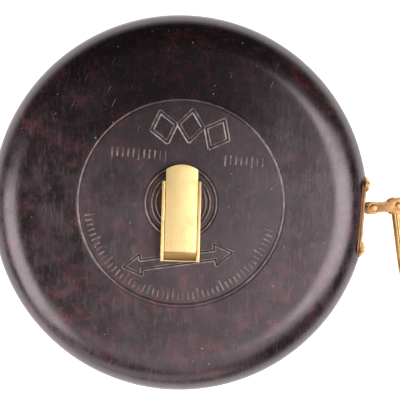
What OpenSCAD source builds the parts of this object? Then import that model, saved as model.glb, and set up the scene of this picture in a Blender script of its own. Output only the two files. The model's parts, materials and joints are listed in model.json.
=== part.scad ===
// Long measuring tape wound by hand: a round two-part case, a reel with its woven tape,
// a folding crank on the front and a brass mouth with guide rollers at the rim.
// The case lies on its flat back. +Z is the reel's axis, +X points out of the mouth.
// Millimetres and degrees.

/* [Tape] */
// Width of the tape
tape_w = 16; // [12:0.5:20]
// Thickness of the tape
tape_t = 0.38; // [0.25:0.01:0.5]

/* [Case] */
// Diameter of the case
case_d = 120; // [100:1:150]
// Thickness of the flat front and back walls
face_wall = 3; // [2.4:0.1:3.8]
// Thickness of the rim wall
rim_wall = 3; // [2.5:0.1:3.8]
// Radius of the rounded shoulders outside
shoulder_r = 8; // [6.5:0.1:9.6]
// Depth of the back cover, from the back face to the seam
cover_depth = 9.5; // [8:0.1:11]
// Height of the locating lip on the back cover
lip_h = 2; // [1.2:0.1:2.6]
// Radius of the screw pillars
pillar_r = 2.7; // [2.4:0.1:3.2]
// Number of screw pillars
pillar_count = 4; // [3:1:6]
// Shank radius of a case screw
case_screw_r = 1.1; // [0.9:0.05:1.3]
// Length of a case screw under its head
case_screw_len = 16; // [12:0.5:18]
// Radius of the bead that frames the middle of the front
badge_r = 32.8; // [26:0.2:40]
// Radius of the round section of that bead
badge_bead = 0.6; // [0.4:0.1:0.8]

/* [Reel] */
// Radius of the reel's core
core_r = 12; // [11.5:0.1:18]
// Thickness of a reel flange
flange_t = 0.8; // [0.6:0.1:1.2]
// Gap between each edge of the tape and its flange
edge_gap = 0.5; // [0.3:0.1:0.8]
// Gap between each flange and the case
reel_end_gap = 1.7; // [1.6:0.1:2.4]
// Radius of the spindle
spindle_r = 4; // [3.6:0.1:4.4]
// Radius of the drive pin through core and spindle
drive_pin_r = 1; // [0.8:0.05:1.2]
// Radius of the circle that the rivets stand on
rivet_at = 9.9; // [9.7:0.1:10.1]

/* [Mouth] */
// Width of the mouth plate along the rim
plate_w = 26; // [25:0.5:30]
// Thickness of the mouth plate
plate_t = 1.4; // [0.8:0.1:1.6]
// Depth of the flat seat under the case's outline
seat_depth = 2.6; // [2.4:0.1:3.2]
// Width of the slot across the tape
slot_w = 8.6; // [8.2:0.2:9.2]
// Distance between the two mouth screws
mouth_screw_pitch = 20.6; // [20:0.2:22]
// Radius of a mouth screw's domed head
mouth_head_r = 2.5; // [2:0.1:2.8]
// Height of a mouth screw's domed head
mouth_head_h = 2; // [1.2:0.1:2.4]
// Radius of a guide roller
roller_r = 2; // [1.6:0.05:2.2]
// Distance between the two roller axes
roller_pitch = 10.6; // [9.6:0.1:10.8]
// Radius of a roller pin
roller_pin_r = 0.8; // [0.6:0.05:1]

/* [Crank] */
// Direction that the crank points in at rest
crank_angle = -87; // [-180:1:180]
// Outer width of the crank channel
arm_w = 12.4; // [11:0.1:15]
// Thickness of the channel's sheet
arm_t = 1; // [0.8:0.05:1.2]
// Height of the channel's side walls
arm_h = 4; // [3.8:0.1:4.6]
// Reach of the channel from the axis to the hinge end
arm_reach = 18.8; // [17:0.1:26]
// Length of the channel behind the axis
arm_tail = 6.8; // [5:0.1:10]
// Length of the flap behind the axis
flap_tail = 12; // [8:0.1:18]
// Thickness of the flap's sheet
flap_t = 0.9; // [0.7:0.05:1]
// Radius of the flap's rounded tip
tip_r = 8.9; // [7:0.1:12]
// Radius of the crank's hinge pin
hinge_pin_r = 0.9; // [0.7:0.05:1]

/* [Tape end] */
// Length of the link between its two pins
link_len = 8.1; // [7.8:0.1:12]
// Thickness of the link's cheeks
cheek_t = 1.2; // [1:0.1:1.6]
// Radius of the link's inner end
link_in_r = 2; // [1.8:0.1:2.2]
// Radius of the link's outer end
link_out_r = 2.8; // [2.2:0.1:3]
// Radius of a link pin
link_pin_r = 0.9; // [0.7:0.05:1]
// Radius of the ring's wire
wire_r = 1.1; // [0.8:0.05:1.3]
// Length of the ring from its pin to the middle of its bow
ring_len = 24; // [20:0.5:34]
// Direction of the link at rest
link_angle = 9; // [0:1:20]
// Direction of the ring at rest
ring_angle = -78.5; // [-90:0.5:-60]

/* [Fits] */
// Gap in radius where a shaft turns
run_fit = 0.05; // [0.03:0.01:0.08]
// Gap where fixed pieces slip together
slip_fit = 0.1; // [0.05:0.01:0.12]
// Gap in radius round a screw, pin or rivet that is driven in
drive_fit = 0.02; // [0.01:0.01:0.05]

/* [Hidden] */
$fn = 96;

bakelite = "#4a3a3d";
brass = "#c9a562";
pale_brass = "#e6cd94";
steel = "#9a9a98";
cloth = "#d8cfae";
cut = 1; // how far a cutting shape runs past the surface it opens

// Case
half_tape = tape_w / 2;
half_room = half_tape + edge_gap + flange_t + reel_end_gap;
case_t = 2 * (half_room + face_wall);
z_mid = case_t / 2;
case_r = case_d / 2;
inner_r = case_r - rim_wall;
inner_top = case_t - face_wall;
inner_corner = max(shoulder_r - max(rim_wall, face_wall), 1);
lip_t = rim_wall * 0.48;
lip_top = cover_depth + lip_h;
pillar_at = inner_r - pillar_r + slip_fit;
pillar_first = 45;
pillar_root = 0.2; // how far a pillar runs into the face that carries it
screw_head_r = case_screw_r + 1;
screw_head_h = 1.6;
screw_seat = face_wall + 0.4;

// Mouth
seat_x = case_r - seat_depth;
plate_h = tape_w + 6;
plate_corner = 4;
plate_face = seat_x + plate_t;
slot_h = tape_w + 1.2;
lug_in = half_tape + 0.75;
lug_t = 0.9;
roller_x = seat_x - roller_r - 0.6;
roller_y = roller_pitch / 2;
roller_half = lug_in - 0.2;
lug_reach = roller_pin_r + 0.9;
pin_head_h = 0.3;
window_half_y = roller_y + roller_r + 0.8;
window_half_z = lug_in + lug_t + pin_head_h + 0.15;
pad_out = mouth_screw_pitch / 2 + 4.2;
pad_x = roller_x - roller_r;
mouth_screw_r = 1.1;
mouth_screw_len = plate_face - pad_x - 0.8;

// Reel: it clears the pillars and the rollers, whichever reach further in
reel_clear = 0.5;
flange_r = min(pillar_at - pillar_r, roller_x - roller_r - 0.9) - reel_clear;
coil_r = flange_r - 0.6;
coil_z = z_mid - half_tape;
back_flange_z = face_wall + reel_end_gap;
front_flange_z = case_t - back_flange_z - flange_t;
core_z = back_flange_z + flange_t;
core_h = front_flange_z - core_z;
rivet_r = 0.9;
rivet_head_r = 1.5;
rivet_head_h = 0.5;
rivet_turns = [30, 150, 270];
anchor_r = 0.8;
anchor_at = core_r - 1.7;

// Bearings
bush_r = spindle_r + 1.5;
bush_flange_r = bush_r + 1;
bush_flange_t = 0.8;
bush_floor = 1.2;
washer_r = spindle_r + 4;
washer_t = reel_end_gap - bush_flange_t - 0.2;
spindle_z = bush_floor + 0.7;

// Crank
arm_z = case_t + 0.9;
arm_floor = arm_z + arm_t;
flap_w = arm_w - 2 * arm_t - 0.3;
flap_top = arm_z + arm_h + 0.3;
hinge_end_gap = 0.1;
lip_end_t = 0.5;
knuckle_r = 2.3;
hinge_z = flap_top - knuckle_r;
hinge_u = arm_reach - lip_end_t - hinge_end_gap - knuckle_r;
flange_drop = hinge_z - 0.3;
square_w = spindle_r * 1.3;
crank_head_r = spindle_r - 0.5;
crank_head_h = 1.3;
crank_shank_r = 1.4;
crank_shank_len = 8;

// Tape path: off the coil, round the upper roller and out through the slot
roller_wrap = roller_r + run_fit + tape_t / 2;
coil_wrap = coil_r + slip_fit + tape_t / 2;
roller_dist = norm([roller_x, roller_y]);
lead_turn = atan2(roller_y, roller_x) + acos((roller_wrap + coil_wrap) / roller_dist);
lead_len = sqrt(pow(roller_dist, 2) - pow(roller_wrap + coil_wrap, 2));
tape_y = roller_y - roller_wrap;

// Tape end
link_x = plate_face + link_in_r + 0.85;
loop_r = link_pin_r + run_fit;
clamp_x = link_x - 2.6;
clamp_l = 1.25;
clamp_half = 2.05 * tape_t;
cheek_in = half_tape + 0.6;
link_waist = 1.6;
web_from = link_in_r + 1;
web_to = link_len - link_out_r - 0.3;
eye_r = link_pin_r + 1.2;
eye_out = cheek_in - 0.3;
eye_t = 2;
arm_off = eye_out - eye_t / 2;
bow_at = ring_len - arm_off;

// ---- shared shapes ----

// Disc with rounded rims, from z0 to z1
module round_disc(r, z0, z1, corner)
    rotate_extrude() {
        translate([0, z0]) square([r - corner, z1 - z0]);
        translate([0, z0 + corner]) square([r, z1 - z0 - 2 * corner]);
        translate([r - corner, z0 + corner]) circle(corner);
        translate([r - corner, z1 - corner]) circle(corner);
    }

module tube(outer, inner, z0, z1)
    translate([0, 0, z0])
    difference() {
        cylinder(r = outer, h = z1 - z0);
        translate([0, 0, -cut]) cylinder(r = inner, h = z1 - z0 + 2 * cut);
    }

module bead(r, section, z)
    rotate_extrude() translate([r, z]) circle(section);

// Flat outline with rounded corners, centred
module round_rect(w, h, corner) {
    square([w - 2 * corner, h], center = true);
    square([w, h - 2 * corner], center = true);
    for (x = [-1, 1], y = [-1, 1])
        translate([x * (w / 2 - corner), y * (h / 2 - corner)]) circle(corner);
}

// Draws across the mouth: flat X becomes Y, flat Y becomes Z, and height becomes X
module across_mouth(x) translate([x, 0, z_mid]) rotate([90, 0, 90]) children();

module at_pillars()
    for (i = [0 : pillar_count - 1])
        rotate(pillar_first + i * 360 / pillar_count) translate([pillar_at, 0, 0]) children();

module at_mouth_screws()
    for (side = [-1, 1]) translate([0, side * mouth_screw_pitch / 2, z_mid]) rotate([0, 90, 0]) children();

module at_crank() rotate(crank_angle) children();

module at_link() translate([link_x, tape_y, z_mid]) rotate(link_angle) children();

module at_outer_pin() at_link() translate([link_len, 0, 0]) children();

module screw_slot(r, w, depth) translate([-r - cut, -w / 2, -depth]) cube([2 * (r + cut), w, depth + cut]);

// ---- case ----

module case_wall()
    difference() {
        round_disc(case_r, 0, case_t, shoulder_r);
        round_disc(inner_r, face_wall, inner_top, inner_corner);
    }

// Thick blocks on each side of the window that the mouth screws bite into
module mouth_pads()
    intersection() {
        round_disc(case_r - cut / 2, face_wall / 2, case_t - face_wall / 2, shoulder_r - face_wall / 2);
        for (side = [-1, 1])
            translate([pad_x, side * (window_half_y + pad_out) / 2 - (pad_out - window_half_y) / 2, 0])
            cube([case_r - pad_x, pad_out - window_half_y, case_t]);
    }

module mouth_cuts() {
    across_mouth(seat_x)
    linear_extrude(seat_depth + cut)
    round_rect(plate_w + 2 * slip_fit, plate_h + 2 * slip_fit, plate_corner + slip_fit);
    translate([pad_x - cut, -window_half_y, z_mid - window_half_z])
    cube([seat_depth + case_r, 2 * window_half_y, 2 * window_half_z]);
    translate([plate_face - mouth_screw_len - slip_fit, 0, 0])
    at_mouth_screws()
    cylinder(r = mouth_screw_r + drive_fit, h = mouth_screw_len);
}

// The seam's lip runs round the rim and stops at the mouth
module seam_lip(outer, inner, z0, z1, mouth_gap)
    difference() {
        tube(outer, inner, z0, z1);
        translate([0, -mouth_gap, 0]) cube([case_r, 2 * mouth_gap, case_t]);
    }

module above_seam() translate([-case_r, -case_r, cover_depth]) cube([case_d, case_d, case_t]);

module below_seam() translate([-case_r, -case_r, 0]) cube([case_d, case_d, cover_depth]);

module case_front()
    color(bakelite)
    difference() {
        union() {
            intersection() {
                union() {
                    case_wall();
                    mouth_pads();
                    at_pillars() cylinder(r = pillar_r, h = inner_top + pillar_root);
                }
                above_seam();
            }
            bead(badge_r, badge_bead, case_t);
            bead(bush_r + 5.7, 0.5, case_t);
            bead(bush_r + 3.7, 0.35, case_t);
            bead(bush_r + 2.4, 0.35, case_t);
        }
        seam_lip(inner_r + lip_t + slip_fit, inner_r, cover_depth - cut, lip_top + slip_fit,
                 pad_out + slip_fit);
        at_pillars()
        translate([0, 0, cover_depth - cut])
        cylinder(r = case_screw_r + drive_fit, h = screw_seat + case_screw_len + 0.5 - cover_depth + cut);
        mouth_cuts();
        translate([0, 0, inner_top - cut]) cylinder(r = bush_r + drive_fit, h = face_wall + 2 * cut);
    }

module case_back()
    color(bakelite)
    difference() {
        union() {
            intersection() {
                union() {
                    case_wall();
                    mouth_pads();
                    translate([0, 0, face_wall - pillar_root])
                    at_pillars()
                    cylinder(r = pillar_r, h = inner_top);
                }
                below_seam();
            }
            seam_lip(inner_r + lip_t, inner_r + slip_fit / 2, cover_depth - cut, lip_top,
                     pad_out + 2 * slip_fit);
        }
        at_pillars() {
            translate([0, 0, -cut]) cylinder(r = screw_head_r + 0.2, h = screw_seat + cut);
            cylinder(r = case_screw_r + slip_fit, h = case_t);
        }
        mouth_cuts();
        translate([0, 0, bush_floor]) cylinder(r = bush_r + drive_fit, h = face_wall);
    }

module case_screws()
    color(steel)
    at_pillars()
    difference() {
        union() {
            translate([0, 0, screw_seat - screw_head_h]) cylinder(r = screw_head_r, h = screw_head_h);
            translate([0, 0, screw_seat - 0.1]) cylinder(r = case_screw_r, h = case_screw_len + 0.1);
        }
        translate([0, 0, screw_seat - screw_head_h]) mirror([0, 0, 1]) screw_slot(screw_head_r, 0.6, 0.7);
    }

// ---- bearings ----

module front_bush()
    color(brass)
    difference() {
        union() {
            translate([0, 0, inner_top - 0.1]) cylinder(r = bush_r, h = face_wall + 0.3);
            translate([0, 0, inner_top - bush_flange_t]) cylinder(r = bush_flange_r, h = bush_flange_t);
        }
        cylinder(r = spindle_r + run_fit, h = case_t + cut);
    }

module back_bush()
    color(brass)
    difference() {
        union() {
            translate([0, 0, bush_floor]) cylinder(r = bush_r, h = face_wall - bush_floor + 0.1);
            translate([0, 0, face_wall]) cylinder(r = bush_flange_r, h = bush_flange_t);
        }
        translate([0, 0, spindle_z - 0.1]) cylinder(r = spindle_r + run_fit, h = case_t);
    }

module front_washer()
    color(steel)
    tube(washer_r, spindle_r + slip_fit, inner_top - bush_flange_t - 0.1 - washer_t,
         inner_top - bush_flange_t - 0.1);

module back_washer()
    color(steel)
    tube(washer_r, spindle_r + slip_fit, face_wall + bush_flange_t + 0.1,
         face_wall + bush_flange_t + 0.1 + washer_t);

// ---- reel ----

module drive_pin_shape(r, half)
    translate([-half, 0, z_mid]) rotate([0, 90, 0]) cylinder(r = r, h = 2 * half);

module spindle()
    color(steel)
    difference() {
        union() {
            translate([0, 0, spindle_z]) cylinder(r = spindle_r, h = arm_z - spindle_z);
            at_crank()
            translate([-square_w / 2, -square_w / 2, arm_z - 0.1])
            cube([square_w, square_w, arm_t + 0.05]);
        }
        translate([0, 0, arm_floor - crank_shank_len - 0.5])
        cylinder(r = crank_shank_r + drive_fit, h = crank_shank_len + cut);
        drive_pin_shape(drive_pin_r + drive_fit, core_r);
    }

module drive_pin()
    color(steel)
    drive_pin_shape(drive_pin_r, core_r - 0.6);

module at_rivets() for (turn = rivet_turns) rotate(turn) translate([rivet_at, 0, 0]) children();

module at_anchor() translate([0, anchor_at, 0]) children();

module reel_core()
    color("#6b5238")
    difference() {
        tube(core_r, spindle_r + drive_fit, core_z, core_z + core_h);
        drive_pin_shape(drive_pin_r + drive_fit, core_r + cut);
        at_rivets() cylinder(r = rivet_r + drive_fit, h = case_t);
        at_anchor() cylinder(r = anchor_r + drive_fit, h = case_t);
        translate([-tape_t, anchor_at, 0]) cube([2 * tape_t, core_r, case_t]);
    }

module reel_flange(z)
    color(steel)
    difference() {
        tube(flange_r, spindle_r + drive_fit, z, z + flange_t);
        at_rivets() cylinder(r = rivet_r + drive_fit, h = case_t);
    }

module reel_flange_front() reel_flange(front_flange_z);

module reel_flange_back() reel_flange(back_flange_z);

module reel_rivets()
    color(brass)
    at_rivets() {
        translate([0, 0, back_flange_z - 0.1]) cylinder(r = rivet_r, h = core_h + 2 * flange_t + 0.2);
        translate([0, 0, back_flange_z - rivet_head_h]) cylinder(r = rivet_head_r, h = rivet_head_h);
        translate([0, 0, front_flange_z + flange_t]) cylinder(r = rivet_head_r, h = rivet_head_h);
    }

module tape_anchor_pin()
    color(steel)
    at_anchor() translate([0, 0, coil_z]) cylinder(r = anchor_r, h = tape_w);

// ---- tape ----

module tape_coil()
    color(cloth)
    tube(coil_r, core_r + drive_fit, coil_z, coil_z + tape_w);

module tape_lead()
    color(cloth)
    translate([0, 0, coil_z]) {
        rotate(lead_turn)
        translate([coil_wrap - tape_t / 2, -lead_len - 0.02, 0])
        cube([tape_t, lead_len + 0.02, tape_w]);
        translate([roller_x, roller_y, 0])
        rotate(180 + lead_turn)
        rotate_extrude(angle = 90 - lead_turn)
        translate([roller_wrap - tape_t / 2, 0])
        square([tape_t, tape_w]);
    }

module tape_run()
    color(cloth)
    translate([roller_x, tape_y - tape_t / 2, coil_z])
    cube([clamp_x - roller_x, tape_t, tape_w]);

module tape_tip()
    color(cloth)
    translate([0, tape_y, 0]) {
        translate([link_x, 0, 0]) tube(loop_r + tape_t, loop_r, coil_z, coil_z + tape_w);
        translate([clamp_x, -tape_t, coil_z])
        cube([link_x - loop_r - 0.1 - clamp_x, 2 * tape_t, tape_w]);
    }

module tape_clamp()
    color(brass)
    translate([0, tape_y, 0])
    difference() {
        across_mouth(clamp_x)
        linear_extrude(clamp_l)
        round_rect(2 * clamp_half, tape_w + 0.5, clamp_half - 0.1);
        across_mouth(clamp_x - cut)
        linear_extrude(clamp_l + 2 * cut)
        square([2 * (tape_t + drive_fit), tape_w + 0.04], center = true);
    }

// ---- mouth ----

module mouth_plate()
    color(brass)
    difference() {
        union() {
            across_mouth(seat_x) linear_extrude(plate_t) round_rect(plate_w, plate_h, plate_corner);
            for (side = [-1, 1])
                translate([roller_x - lug_reach, -window_half_y + 0.4,
                           z_mid + side * (lug_in + lug_t / 2) - lug_t / 2])
                cube([seat_x + plate_t / 2 - roller_x + lug_reach, 2 * window_half_y - 0.8, lug_t]);
        }
        across_mouth(seat_x - cut) linear_extrude(plate_t + 2 * cut) round_rect(slot_w, slot_h, 1);
        translate([seat_x - cut, 0, 0]) at_mouth_screws() cylinder(r = mouth_screw_r + slip_fit, h = 4);
        for (side = [-1, 1])
            translate([roller_x, side * roller_y, 0]) cylinder(r = roller_pin_r + drive_fit, h = case_t);
    }

module mouth_screws()
    color(brass)
    at_mouth_screws() {
        ball = (pow(mouth_head_r, 2) + pow(mouth_head_h, 2)) / (2 * mouth_head_h);
        difference() {
            intersection() {
                translate([0, 0, plate_face + mouth_head_h - ball]) sphere(ball);
                translate([0, 0, plate_face]) cylinder(r = mouth_head_r, h = mouth_head_h);
            }
            translate([0, 0, plate_face + mouth_head_h]) rotate(90) screw_slot(mouth_head_r, 0.7, 0.8);
        }
        translate([0, 0, plate_face - mouth_screw_len]) cylinder(r = mouth_screw_r, h = mouth_screw_len + 0.1);
    }

module roller(side)
    color(steel)
    translate([roller_x, side * roller_y, 0])
    tube(roller_r, roller_pin_r + run_fit, z_mid - roller_half, z_mid + roller_half);

module roller_upper() roller(1);

module roller_lower() roller(-1);

module roller_pins()
    color(brass)
    for (side = [-1, 1])
        translate([roller_x, side * roller_y, z_mid]) {
            cylinder(r = roller_pin_r, h = 2 * (lug_in + lug_t + 0.1), center = true);
            for (end = [0, 1])
                mirror([0, 0, end])
                translate([0, 0, lug_in + lug_t])
                cylinder(r = roller_pin_r + 0.3, h = pin_head_h);
        }

// ---- crank: local X runs along the arm from the axis, local Y across it ----

module crank_arm()
    color(brass)
    at_crank()
    difference() {
        translate([-arm_tail, -arm_w / 2, arm_z]) cube([arm_tail + arm_reach, arm_w, arm_h]);
        translate([-arm_tail - cut, -arm_w / 2 + arm_t, arm_floor])
        cube([arm_tail + arm_reach - lip_end_t + cut, arm_w - 2 * arm_t, arm_h]);
        translate([hinge_u - knuckle_r - 0.4, -arm_w / 2 + arm_t, arm_z - cut])
        cube([2 * knuckle_r + 0.4 + hinge_end_gap, arm_w - 2 * arm_t, arm_h]);
        translate([arm_reach - lip_end_t - cut, -arm_w / 2 + arm_t, hinge_z + 0.2])
        cube([lip_end_t + 2 * cut, arm_w - 2 * arm_t, arm_h]);
        translate([-(square_w + slip_fit) / 2, -(square_w + slip_fit) / 2, arm_z - cut])
        cube([square_w + slip_fit, square_w + slip_fit, arm_h]);
        translate([hinge_u, 0, hinge_z])
        rotate([90, 0, 0])
        cylinder(r = hinge_pin_r + drive_fit, h = 2 * arm_w, center = true);
    }

module crank_screw()
    color(steel)
    difference() {
        union() {
            translate([0, 0, arm_floor]) cylinder(r = crank_head_r, h = crank_head_h);
            translate([0, 0, arm_floor - crank_shank_len])
            cylinder(r = crank_shank_r, h = crank_shank_len + 0.1);
        }
        translate([0, 0, arm_floor + crank_head_h]) rotate(25) screw_slot(crank_head_r, 0.8, 0.6);
    }

module crank_hinge_pin()
    color(pale_brass)
    at_crank()
    translate([hinge_u, 0, hinge_z])
    rotate([90, 0, 0]) {
        cylinder(r = hinge_pin_r, h = arm_w + 0.2, center = true);
        for (end = [0, 1])
            mirror([0, 0, end])
            translate([0, 0, arm_w / 2])
            cylinder(r = hinge_pin_r + 0.3, h = 0.35);
    }

module flap_outline()
    intersection() {
        translate([-flap_tail, -flap_w / 2]) square([flap_tail + hinge_u, flap_w]);
        union() {
            translate([tip_r - flap_tail, 0]) circle(tip_r);
            translate([tip_r - flap_tail, -flap_w / 2]) square([flap_tail + hinge_u - tip_r, flap_w]);
        }
    }

module crank_flap()
    color(pale_brass)
    at_crank()
    difference() {
        union() {
            translate([0, 0, flap_top - flap_t]) linear_extrude(flap_t) flap_outline();
            for (side = [-1, 1])
                translate([0, side * (flap_w - flap_t) / 2 - flap_t / 2, 0]) {
                    translate([2.4 - flap_tail, 0, flange_drop])
                    cube([flap_tail - 2.4 + hinge_u, flap_t, flap_top - flange_drop]);
                    translate([hinge_u, flap_t, hinge_z])
                    rotate([90, 0, 0])
                    cylinder(r = knuckle_r, h = flap_t);
                }
            translate([hinge_u, flap_w / 2, hinge_z])
            rotate([90, 0, 0])
            rotate_extrude(angle = 90)
            translate([knuckle_r - flap_t, 0])
            square([flap_t, flap_w]);
        }
        translate([hinge_u, 0, hinge_z])
        rotate([90, 0, 0])
        cylinder(r = hinge_pin_r + run_fit, h = 2 * arm_w, center = true);
    }

// ---- tape end ----

module link_outline() {
    circle(link_in_r);
    translate([link_len, 0]) circle(link_out_r);
    translate([0, -link_waist]) square([link_len, 2 * link_waist]);
}

module end_link()
    color(brass)
    at_link()
    difference() {
        union() {
            for (end = [0, 1])
                mirror([0, 0, end]) translate([0, 0, cheek_in]) linear_extrude(cheek_t) link_outline();
            translate([web_from, -link_waist, -cheek_in - 0.1])
            cube([web_to - web_from, 2 * link_waist, 2 * cheek_in + 0.2]);
        }
        for (at = [0, link_len])
            translate([at, 0, 0]) cylinder(r = link_pin_r + drive_fit, h = case_t, center = true);
    }

module link_pin()
    color(pale_brass) {
        cylinder(r = link_pin_r, h = 2 * (cheek_in + cheek_t), center = true);
        for (end = [0, 1])
            mirror([0, 0, end])
            translate([0, 0, cheek_in + cheek_t])
            cylinder(r = link_pin_r + 0.4, h = 0.4);
    }

module link_pin_inner() at_link() link_pin();

module link_pin_outer() at_outer_pin() link_pin();

module end_ring()
    color(pale_brass)
    at_outer_pin()
    rotate(ring_angle - link_angle)
    difference() {
        union() {
            for (end = [0, 1])
                mirror([0, 0, end]) {
                    translate([0, 0, eye_out - eye_t]) cylinder(r = eye_r, h = eye_t);
                    translate([link_pin_r, 0, arm_off]) rotate([0, 90, 0])
                        cylinder(r = wire_r, h = bow_at - link_pin_r);
                }
            translate([bow_at, 0, 0])
            rotate([90, 0, 0])
            rotate(-90)
            rotate_extrude(angle = 180)
            translate([arm_off, 0])
            circle(wire_r);
        }
        cylinder(r = link_pin_r + run_fit, h = case_t, center = true);
    }

case_front();
case_back();
case_screws();
front_bush();
back_bush();
front_washer();
back_washer();
spindle();
drive_pin();
reel_core();
reel_flange_front();
reel_flange_back();
reel_rivets();
tape_anchor_pin();
tape_coil();
tape_lead();
tape_run();
tape_tip();
tape_clamp();
mouth_plate();
mouth_screws();
roller_upper();
roller_lower();
roller_pins();
crank_arm();
crank_screw();
crank_hinge_pin();
crank_flap();
end_link();
link_pin_inner();
link_pin_outer();
end_ring();
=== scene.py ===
# %% [markdown]
# A long measuring tape in a round moulded case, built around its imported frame. Every piece below is
# made where the frame says it is, and the frame's own nodes are never moved. Most steps come in pairs:
# a few words on what the piece is and why it is made this way, then the cells that make it.

import json
import math

import bmesh
import bpy
from mathutils import Matrix, Vector


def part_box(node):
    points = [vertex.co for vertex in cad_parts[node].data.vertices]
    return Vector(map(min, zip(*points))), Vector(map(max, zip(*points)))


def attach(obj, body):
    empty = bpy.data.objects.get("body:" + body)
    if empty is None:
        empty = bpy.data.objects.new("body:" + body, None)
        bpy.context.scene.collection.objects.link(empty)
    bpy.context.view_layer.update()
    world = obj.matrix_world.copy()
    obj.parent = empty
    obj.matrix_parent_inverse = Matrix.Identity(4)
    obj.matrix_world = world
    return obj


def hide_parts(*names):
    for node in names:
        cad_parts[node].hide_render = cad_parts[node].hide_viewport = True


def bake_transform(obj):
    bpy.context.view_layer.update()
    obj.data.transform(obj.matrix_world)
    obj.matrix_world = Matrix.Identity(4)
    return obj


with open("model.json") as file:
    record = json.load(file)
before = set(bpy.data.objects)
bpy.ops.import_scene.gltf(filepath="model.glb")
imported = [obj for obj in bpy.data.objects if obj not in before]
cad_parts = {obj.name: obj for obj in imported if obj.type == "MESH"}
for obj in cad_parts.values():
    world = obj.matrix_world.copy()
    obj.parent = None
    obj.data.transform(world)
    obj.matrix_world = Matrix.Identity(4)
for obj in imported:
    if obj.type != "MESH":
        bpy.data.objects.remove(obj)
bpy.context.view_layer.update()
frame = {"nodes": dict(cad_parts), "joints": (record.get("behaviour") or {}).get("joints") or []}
nodes = frame["nodes"]

# %% [markdown]
# The case lies on its back, with its axis along Z and the mouth towards +X. All the main heights and
# radii can be read from the boxes of the frame's nodes, so a change of the frame carries through to
# the looks. What a box can't say, such as a small bevel, is given in millimetres where it is used.

# %% Measures of the case
MM = 0.001


def middle(node):
    low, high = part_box(node)
    return (Vector(low) + Vector(high)) / 2


def extent(node):
    low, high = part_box(node)
    return Vector(high) - Vector(low)


case_r = -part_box("case_front")[0][0]
mid_z = middle("mouth_plate").z
face_z = 2 * mid_z
BUSH_FLANGE = 0.8 * MM
inner_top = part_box("front_bush")[0][2] + BUSH_FLANGE
wall = face_z - inner_top
inner_r = case_r - wall
shoulder = 8 * MM
seam_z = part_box("case_front")[0][2]
plate_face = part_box("mouth_plate")[1][0]
PLATE_T = 1.4 * MM
seat_x = plate_face - PLATE_T
tape_y = middle("tape_run").y
print(f"case radius {case_r / MM:.1f}, face at {face_z / MM:.1f}, seam at {seam_z / MM:.1f} mm")

# %% Measures of the crank and the tape's end
crank_turn = math.radians(-87)
hinge = next(joint for joint in frame["joints"] if joint["name"] == "crank_fold")["pos_m"]
hinge_u = math.hypot(hinge[0], hinge[1])
hinge_z = hinge[2]
arm_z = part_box("crank_arm")[0][2]
flap_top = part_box("crank_flap")[1][2]
inner_pin = middle("link_pin_inner")
outer_pin = middle("link_pin_outer")
link_turn = math.atan2(outer_pin.y - inner_pin.y, outer_pin.x - inner_pin.x)
link_len = (outer_pin - inner_pin).length
ring_turn = math.radians(-78.5)
print(f"crank hinge {hinge_u / MM:.1f} mm from the axis, link {link_len / MM:.1f} mm long")

# %% [markdown]
# The camera stands almost straight above the case, a little to the left of its axis, and the case is
# turned 4.5 degrees clockwise in the view. Directions "right" and "up" below are those of the view,
# so lights can be placed as in a studio, by where they stand from the camera.

# %% Camera
VIEW_TURN = math.radians(4.5)
VIEW_WIDTH = 128.0 * MM
SENSOR = 36.0


def in_view(right, up, height):
    """A place given by how far it is to the right of and above the case in the view, in metres."""
    across = Vector((math.cos(VIEW_TURN), math.sin(VIEW_TURN), 0)) * right
    along = Vector((-math.sin(VIEW_TURN), math.cos(VIEW_TURN), 0)) * up
    return across + along + Vector((0, 0, height))


def facing(place, target, up):
    """The turn that points an object's -Z from place to target, with its +Y near up."""
    back = (place - target).normalized()
    right = up.cross(back).normalized()
    return Matrix((right, back.cross(right), back)).transposed().to_4x4()


eye = in_view(-40 * MM, 0, 1200 * MM)
aim = in_view(6.37 * MM, 0.79 * MM, 20 * MM)
bpy.ops.object.camera_add(location=(0, 0, 0))
camera = bpy.context.object
camera.name = "camera"
camera.matrix_world = Matrix.Translation(eye) @ facing(eye, aim, in_view(0, 1, 0))
camera.data.sensor_width = SENSOR
camera.data.lens = SENSOR * (eye - aim).length / VIEW_WIDTH
bpy.context.scene.camera = camera
print(f"lens {camera.data.lens:.0f} mm")

# %% [markdown]
# Dark glossy Bakelite shows mostly what it mirrors. Almost straight above the case the room is dark.
# A broad panel to the right and a softer one to the left draw the bright streaks on the rounded
# shoulders. A wide weak softbox hangs level over the near right side, and the flat face mirrors its
# soft edge: that half turns a mauve grey, and the far side stays almost black. Only a low band of the
# sky is pale, like the walls of a room.

# %% Lights
def panel(name, place, size, power, tint=(1, 1, 1)):
    bpy.ops.object.light_add(type="AREA", location=(0, 0, 0))
    lamp = bpy.context.object
    lamp.name = name
    heart = Vector((0, 0, mid_z))
    lamp.matrix_world = Matrix.Translation(place) @ facing(place, heart, in_view(0, 1, 0))
    lamp.data.shape = "RECTANGLE"
    lamp.data.size, lamp.data.size_y = size
    lamp.data.energy = power
    lamp.data.color = tint
    lamp.visible_camera = False
    return lamp


panel("right_panel", in_view(0.37, -0.03, 0.58), (0.46, 0.42), 2.3)
panel("left_panel", in_view(-0.54, -0.21, 0.48), (0.44, 0.62), 3.6)
panel("low_panel", in_view(-0.10, -0.62, 0.26), (0.70, 0.22), 0.6)
softbox = panel("near_softbox", in_view(0.165, -0.187, 0.50), (0.70, 0.42), 1.0, (1.0, 0.94, 0.97))
level = Matrix.Rotation(math.radians(41) + VIEW_TURN, 4, "Z")
softbox.matrix_world = Matrix.Translation(softbox.location) @ level

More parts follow.
